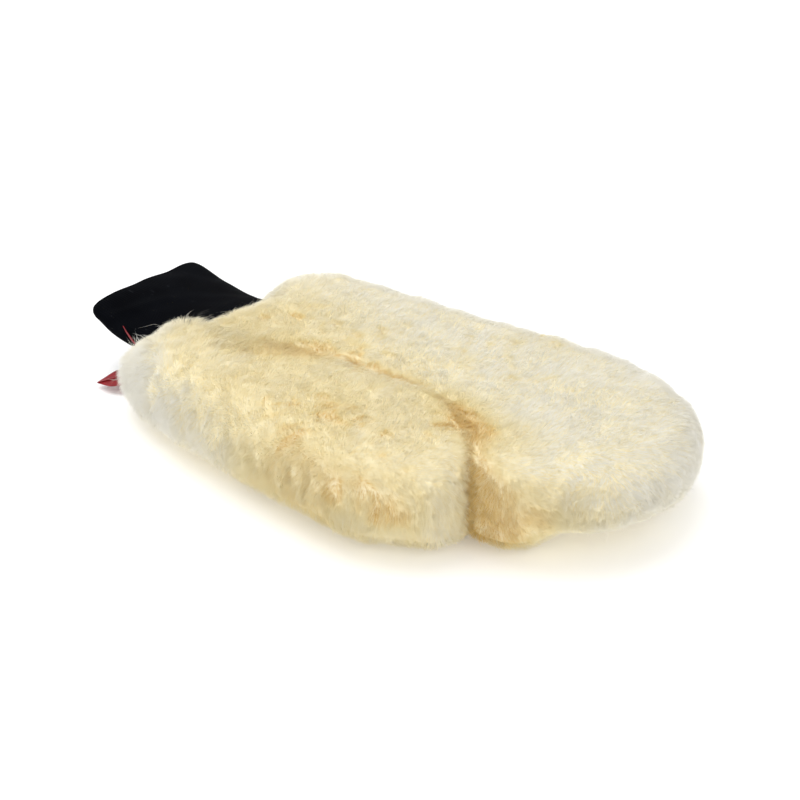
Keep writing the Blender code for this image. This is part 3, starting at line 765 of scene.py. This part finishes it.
def under_body(name, outer, body_b, start, end):
    """Finishes the body that the strands are rooted on, and opens it where the cuff goes in."""
    points, _, _ = mesh_arrays(outer)
    points = lifted(points)
    outer.data.vertices.foreach_set("co", points.astype(np.float32).ravel())
    outer.data.update()
    outer.name = name
    outer.data.polygons.foreach_set("use_smooth", np.ones(len(outer.data.polygons), bool))
    bm = bmesh.new()
    bm.from_mesh(outer.data)
    centres = np.array([face.calc_center_median() for face in bm.faces])
    doomed = in_cuff(centres, 0.0)
    gone = [face for face, cut in zip(bm.faces, doomed) if cut]
    bmesh.ops.delete(bm, geom=gone, context="FACES")
    bm.to_mesh(outer.data)
    bm.free()
    outer.data.materials.clear()
    outer.data.materials.append(UNDER_WOOL)
    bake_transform(outer)
    return outer


def plump(obj, outline, other, seed):
    """Fills out the facing sides, then raises and lowers the surface a little."""
    points, normals, _ = mesh_arrays(obj)
    points = drawn_back(plumped(points, outline, other))
    relief = 0.0009 * waves(points, 0.028, seed) + 0.0006 * waves(points, 0.012, seed + 1)
    side = 1 - np.abs(normals[:, 2])
    # Locks of wool hang down the near side.
    locks = waves(points * np.array([1, 1, 0.3]), 0.010, seed + 2)
    relief += 0.0008 * locks * side * smooth_step(-normals[:, 1], -0.2, 0.4)
    points += normals * relief[:, None]
    obj.data.vertices.foreach_set("co", points.astype(np.float32).ravel())
    obj.data.update()


HAND_COUNT, HAND_PIECES = ((220000, 4))
THUMB_COUNT, THUMB_PIECES = ((110000, 2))
HAND_BEND = ((CROTCH_X - 0.035, 0, MID_Z), (CROTCH_X + 0.035, 0, MID_Z))
THUMB_BEND = ((CROTCH_X - 0.045, 0, MID_Z), (CROTCH_X + 0.025, 0, MID_Z))
HAND_NODES = ("upper_pile_palm", "lower_pile_palm", "upper_pile_fingers", "lower_pile_fingers")
THUMB_NODES = ("upper_pile_thumb", "lower_pile_thumb")


def build_wool():
    """The wool of the hand and of the thumb, each with the body under it."""
    hand = cushion("hand_under_wool", HAND, FUR_HALF - UNDER)
    thumb = cushion("thumb_under_wool", THUMB, FUR_HALF - UNDER)
    plump(hand, HAND, THUMB, 71)
    plump(thumb, THUMB, HAND, 81)
    hand_growth = ("hand_pile", hand, THUMB, HAND_COUNT, 101, "fingers", *HAND_BEND)
    grow(*hand_growth, HAND_NODES, HAND_PIECES)
    thumb_growth = ("thumb_pile", thumb, HAND, THUMB_COUNT, 202, "thumb", *THUMB_BEND)
    grow(*thumb_growth, THUMB_NODES, THUMB_PIECES)
    under_body("hand_under_wool", hand, "fingers", *HAND_BEND)
    under_body("thumb_under_wool", thumb, "thumb", *THUMB_BEND)


build_wool()


# ---------------------------------------------------------------- knitted cuff

CUFF_RING = 112
CUFF_STEPS = 56
CUFF_WALL = 0.0026
CUFF_POWER, CUFF_FAR_POWER = 2.3, 1.5  # its far side is creased flatter
CUFF_START_X = CUFF_HINGE.x + 0.024  # its sewn end, inside the wool
CUFF_END_X = CUFF_LOW.x - 0.0015
CUFF_HALF_WIDTH, CUFF_END_HALF_WIDTH = 0.0440, 0.0450
CUFF_HALF_HEIGHT, CUFF_END_HALF_HEIGHT = 0.0135, 0.0072
CUFF_RISE = 0.0105
CUFF_FAR_SPREAD = 0.0048  # its far side is this much further out at the wool
CUFF_NEAR_RISE, CUFF_FAR_RISE = 0.0032, 0.0048  # its corners stand this much higher
CUFF_CORNERS = (0.0065, 0.0)  # the near and the far corner of the free end are rounded by this
CUFF_LIP = 0.0060  # its sewn end closes in by this


def cuff_point(x, angle, wall):
    """A point of the cuff's section at x, inside its outer face by wall."""
    t = float(np.clip((CUFF_HINGE.x - x) / (CUFF_HINGE.x - CUFF_END_X), 0, 1))
    c, s = math.cos(angle), math.sin(angle)
    power = CUFF_POWER if c < 0 else CUFF_POWER + (CUFF_FAR_POWER - CUFF_POWER) * c * c
    y = math.copysign(abs(c) ** (2 / power), c)
    z = math.copysign(abs(s) ** (2 / power), s)
    near = float(smooth_step(-y, 0.1, 0.95))
    last = max(0.0, (t - 0.90) / 0.10)
    corner = CUFF_CORNERS[0] if y < 0 else CUFF_CORNERS[1]
    rounding = corner * (1 - math.sqrt(max(1 - last * last, 0)))
    half_width = CUFF_HALF_WIDTH + (CUFF_END_HALF_WIDTH - CUFF_HALF_WIDTH) * t - rounding - wall
    half_width += CUFF_FAR_SPREAD * max(y, 0) * (1 - t)
    half_height = CUFF_HALF_HEIGHT + (CUFF_END_HALF_HEIGHT - CUFF_HALF_HEIGHT) * t - wall
    half_height -= CUFF_LIP * float(smooth_step(x, CUFF_HINGE.x + 0.012, CUFF_START_X))
    sag = float(smooth_step(t, 0.05, 0.45)) * float(smooth_step(1.15 - t, 0.0, 0.5))
    height = MID_Z + CUFF_RISE * float(smooth_step(t, 0, 1)) - 0.0028 * near * sag
    height += CUFF_NEAR_RISE * near * float(smooth_step(t, 0.6, 1))
    height += CUFF_FAR_RISE * float(smooth_step(y, 0.4, 1.0)) * float(smooth_step(t, 0.55, 1))
    if z < 0:
        half_height *= 1 + 0.35 * near * sag * float(smooth_step(t, 0.3, 0.7))
    return Vector((x, CUFF_Y + y * half_width, height + z * half_height))


def creases(points):
    """Soft folds of a limp knit: long shallow ones across the tube and finer ones by the seam."""
    x, y = points[:, 0], points[:, 1]
    moved = 0.00055 * waves(points, 0.045, 61) + 0.00025 * waves(points, 0.016, 62)
    fold_line = CUFF_HINGE.x - 0.026 + 0.45 * (y - CUFF_Y)
    ridge = np.exp(-(((x - fold_line) / 0.0045) ** 2)) * smooth_step(-(y - CUFF_Y), -0.01, 0.03)
    return moved + 0.0011 * ridge


def build_cuff():
    """One knitted tube folded double: out along the outer layer, round the fold, back inside."""
    fold = CUFF_WALL / 2
    stations = np.linspace(CUFF_START_X, CUFF_END_X + fold, CUFF_STEPS)
    rings = [(x, 0.0) for x in stations]
    for i in range(1, 6):
        turn = math.pi * i / 6
        rings.append((CUFF_END_X + fold - fold * math.sin(turn), fold - fold * math.cos(turn)))
    rings += [(x, CUFF_WALL) for x in stations[::-1][:-6]]
    bm = bmesh.new()
    made = []
    for x, wall in rings:
        turns = [math.tau * i / CUFF_RING for i in range(CUFF_RING)]
        made.append([bm.verts.new(cuff_point(x, turn, wall)) for turn in turns])
    for a, b in zip(made, made[1:]):
        for i in range(CUFF_RING):
            j = (i + 1) % CUFF_RING
            bm.faces.new((a[i], a[j], b[j], b[i]))
    bmesh.ops.recalc_face_normals(bm, faces=bm.faces)
    mesh = bpy.data.meshes.new("cuff_knit")
    bm.to_mesh(mesh)
    bm.free()
    mesh.shade_smooth()
    cuff = link(bpy.data.objects.new("cuff_knit", mesh))
    points, normals, _ = mesh_arrays(cuff)
    along = (CUFF_HINGE.x - points[:, 0]) / (CUFF_HINGE.x - CUFF_END_X)
    centre_z = MID_Z + CUFF_RISE * smooth_step(along, 0, 1)
    upper = np.where(points[:, 2] > centre_z, 1.0, -0.6)
    points[:, 2] += creases(points) * upper
    mesh.vertices.foreach_set("co", points.astype(np.float32).ravel())
    mesh.update()
    mesh.materials.append(KNIT)
    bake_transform(cuff)
    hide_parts("knit_cuff")
    return cuff


build_cuff()


# ---------------------------------------------------------------- ribbon

RIBBON_HALF = 0.0085
RIBBON_POINT = 0.0100  # length of its pointed fold
RIBBON_THICK = 0.0005
RIBBON_TILT = 0.35  # the far strand leans up against the wool


def sheet(name, rows, thickness, levels):
    """A thin sheet through rows of points, thickened and subdivided."""
    bm = bmesh.new()
    made = [[bm.verts.new(p) for p in row] for row in rows]
    for a, b in zip(made, made[1:]):
        for i in range(len(a) - 1):
            bm.faces.new((a[i], a[i + 1], b[i + 1], b[i]))
    bmesh.ops.recalc_face_normals(bm, faces=bm.faces)
    mesh = bpy.data.meshes.new(name)
    bm.to_mesh(mesh)
    bm.free()
    obj = link(bpy.data.objects.new(name, mesh))
    thick = obj.modifiers.new("thick", "SOLIDIFY")
    thick.thickness = thickness
    thick.offset = 0
    smooth = obj.modifiers.new("smooth", "SUBSURF")
    smooth.levels = smooth.render_levels = levels
    obj = applied(obj, name)
    obj.data.shade_smooth()
    return obj


def finish_ribbon(obj, body, *nodes):
    """Dresses a piece of ribbon and hangs it on its body."""
    obj.data.materials.clear()
    obj.data.materials.append(SATIN)
    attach(obj, body)
    if nodes:
        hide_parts(*nodes)
    return obj


def build_ribbon():
    """Two strands that meet in a pointed fold, the far one lying a little over the near one."""
    root = HINGES["loop_swing"]
    tip = Vector((LOOP_LOW.x, LOOP_LOW.y + 0.0015, LOOP_LOW.z + RIBBON_THICK))
    along = tip - root
    reach = along.length
    along.normalize()
    across = Vector((0, 0, 1)).cross(along).normalized()
    steps = 14
    for name, side, lap in (("ribbon_near_strand", 1, 0.0), ("ribbon_far_strand", -1, 0.0014)):
        rows = []
        for i in range(steps + 1):
            t = reach * i / steps
            width = RIBBON_HALF * min(1.0, max(0.06, (reach - t) / RIBBON_POINT))
            width *= min(1.0, 0.25 + t / 0.006)
            arch = 0.0016 * math.sin(math.pi * min(1, t / reach))
            row = []
            for j in range(5):
                share = j / 4
                out = -lap + (width + lap) * share
                bow = arch * (1 - share) ** 1.5 + lap * 0.45 * (1 - share)
                place = root + along * t + across * (side * out)
                tilt = RIBBON_TILT * max(0.0, -side * out) * min(1, t / 0.02)
                row.append(place + Vector((0, 0, bow + tilt)))
            rows.append(row)
        strand = sheet(name, rows, RIBBON_THICK, 2)
        finish_ribbon(strand, "loop", *(["hang_loop"] if side == 1 else []))
    # The other end of the ribbon stands on its edge against the near side of the cuff.
    rows = []
    for i in range(9):
        t = i / 8
        x = CUFF_HINGE.x - 0.0345 + 0.0130 * t
        place = cuff_point(x, math.radians(156 + 22 * t), -0.0008)
        half = 0.0025 * math.sin(math.pi * (0.06 + 0.80 * t)) ** 0.8
        lift = Vector((0.10, -0.35, 1.0)).normalized() * half
        rows.append([place - lift, place, place + lift])
    finish_ribbon(sheet("ribbon_edge", rows, 0.0004, 2), "cuff")


build_ribbon()


# ---------------------------------------------------------------- the CAD pieces that stay


def dress_nodes():
    """Gives the leather, the threads and the ribbon's root their looks."""
    leather = leather_material()
    pale_thread = thread_material("pale_thread", *PALE_THREAD)
    dark_thread = thread_material("dark_thread", *DARK_THREAD)
    looks = {"leather": leather, "seam_thread": pale_thread}
    looks |= {"dark_thread": dark_thread, "ribbon": SATIN}
    for subpart in frame["record"]["subparts"]:
        look = looks.get(subpart["material_slot"])
        obj = frame["nodes"][subpart["node"]]
        if look and obj.data.materials:
            for i in range(len(obj.data.materials)):
                obj.data.materials[i] = look


dress_nodes()


# ---------------------------------------------------------------- stage

WORLD_STRENGTH, WORLD_SEEN = 0.82, 1.0  # its light, and the plain white that the camera sees
FLOOR_SIZE, FLOOR_SHADE, FLOOR_GLOW = 6, 0.90, 0.12
FADE_START, FADE_END, FADE_GLOW = 0.35, 1.2, 0.45  # how the floor fades into the white
LIGHT_SIZE = 1.2
LIGHTS = {
    "key": ((-0.30, 0.05, 1.20), 9.0),
    "left_fill": ((-0.9, -0.7, 0.6), 2.3),
    "right_fill": ((1.0, -0.65, 0.6), 5.3),
}
CAMERA_PLACE = Vector((0.3950, -0.4927, 0.3203))
CAMERA_TARGET = Vector((0.0675, -0.0287, 0.025))
CAMERA_LENS = 53.87


def floor_material():
    """Pale floor that glows a little, and that the camera sees fade into white further off."""
    material, nodes, links, shader = node_material("floor")
    shader.inputs["Base Color"].default_value = (FLOOR_SHADE, FLOOR_SHADE, FLOOR_SHADE, 1)
    shader.inputs["Roughness"].default_value = 0.9
    shader.inputs["Emission Color"].default_value = (1, 1, 1, 1)
    place = nodes.new("ShaderNodeTexCoord")
    distance = nodes.new("ShaderNodeVectorMath")
    distance.operation = "LENGTH"
    far_glow = nodes.new("ShaderNodeMapRange")
    far_glow.inputs["From Min"].default_value = FADE_START
    far_glow.inputs["From Max"].default_value = FADE_END
    far_glow.inputs["To Min"].default_value = FLOOR_GLOW
    far_glow.inputs["To Max"].default_value = FADE_GLOW
    seen = nodes.new("ShaderNodeLightPath")
    glow = nodes.new("ShaderNodeMapRange")
    glow.inputs["To Min"].default_value = FLOOR_GLOW
    links.new(place.outputs["Object"], distance.inputs[0])
    links.new(distance.outputs["Value"], far_glow.inputs["Value"])
    links.new(seen.outputs["Is Camera Ray"], glow.inputs["Value"])
    links.new(far_glow.outputs["Result"], glow.inputs["To Max"])
    links.new(glow.outputs["Result"], shader.inputs["Emission Strength"])
    return material


def studio():
    """A pale floor, even light from all round, a soft key from above and a fill from each side."""
    scene = bpy.context.scene
    world = bpy.data.worlds.new("studio")
    world.use_nodes = True
    background = world.node_tree.nodes["Background"]
    background.inputs["Color"].default_value = (1, 1, 1, 1)
    nodes, links = world.node_tree.nodes, world.node_tree.links
    seen = nodes.new("ShaderNodeLightPath")
    strength = nodes.new("ShaderNodeMapRange")
    strength.inputs["To Min"].default_value = WORLD_STRENGTH
    strength.inputs["To Max"].default_value = WORLD_SEEN
    links.new(seen.outputs["Is Camera Ray"], strength.inputs["Value"])
    links.new(strength.outputs["Result"], background.inputs["Strength"])
    scene.world = world
    scene.view_settings.view_transform = "Standard"
    scene.cycles.diffuse_bounces = 8
    scene.cycles.max_bounces = 12
    bpy.ops.mesh.primitive_plane_add(size=FLOOR_SIZE)
    floor = bpy.context.object
    floor.name = "floor"
    floor.data.materials.append(floor_material())
    for name, (place, energy) in LIGHTS.items():
        data = bpy.data.lights.new(name, "AREA")
        data.size = LIGHT_SIZE
        data.energy = energy
        light = link(bpy.data.objects.new(name, data))
        light.location = place
        light.rotation_euler = (CAMERA_TARGET - light.location).to_track_quat("-Z", "Y").to_euler()
    camera_data = bpy.data.cameras.new("camera")
    camera_data.lens = CAMERA_LENS
    camera_data.sensor_width = 36
    camera = link(bpy.data.objects.new("camera", camera_data))
    camera.location = CAMERA_PLACE
    camera.rotation_mode = "QUATERNION"
    camera.rotation_quaternion = (CAMERA_TARGET - CAMERA_PLACE).to_track_quat("-Z", "Y")
    scene.camera = camera


studio()
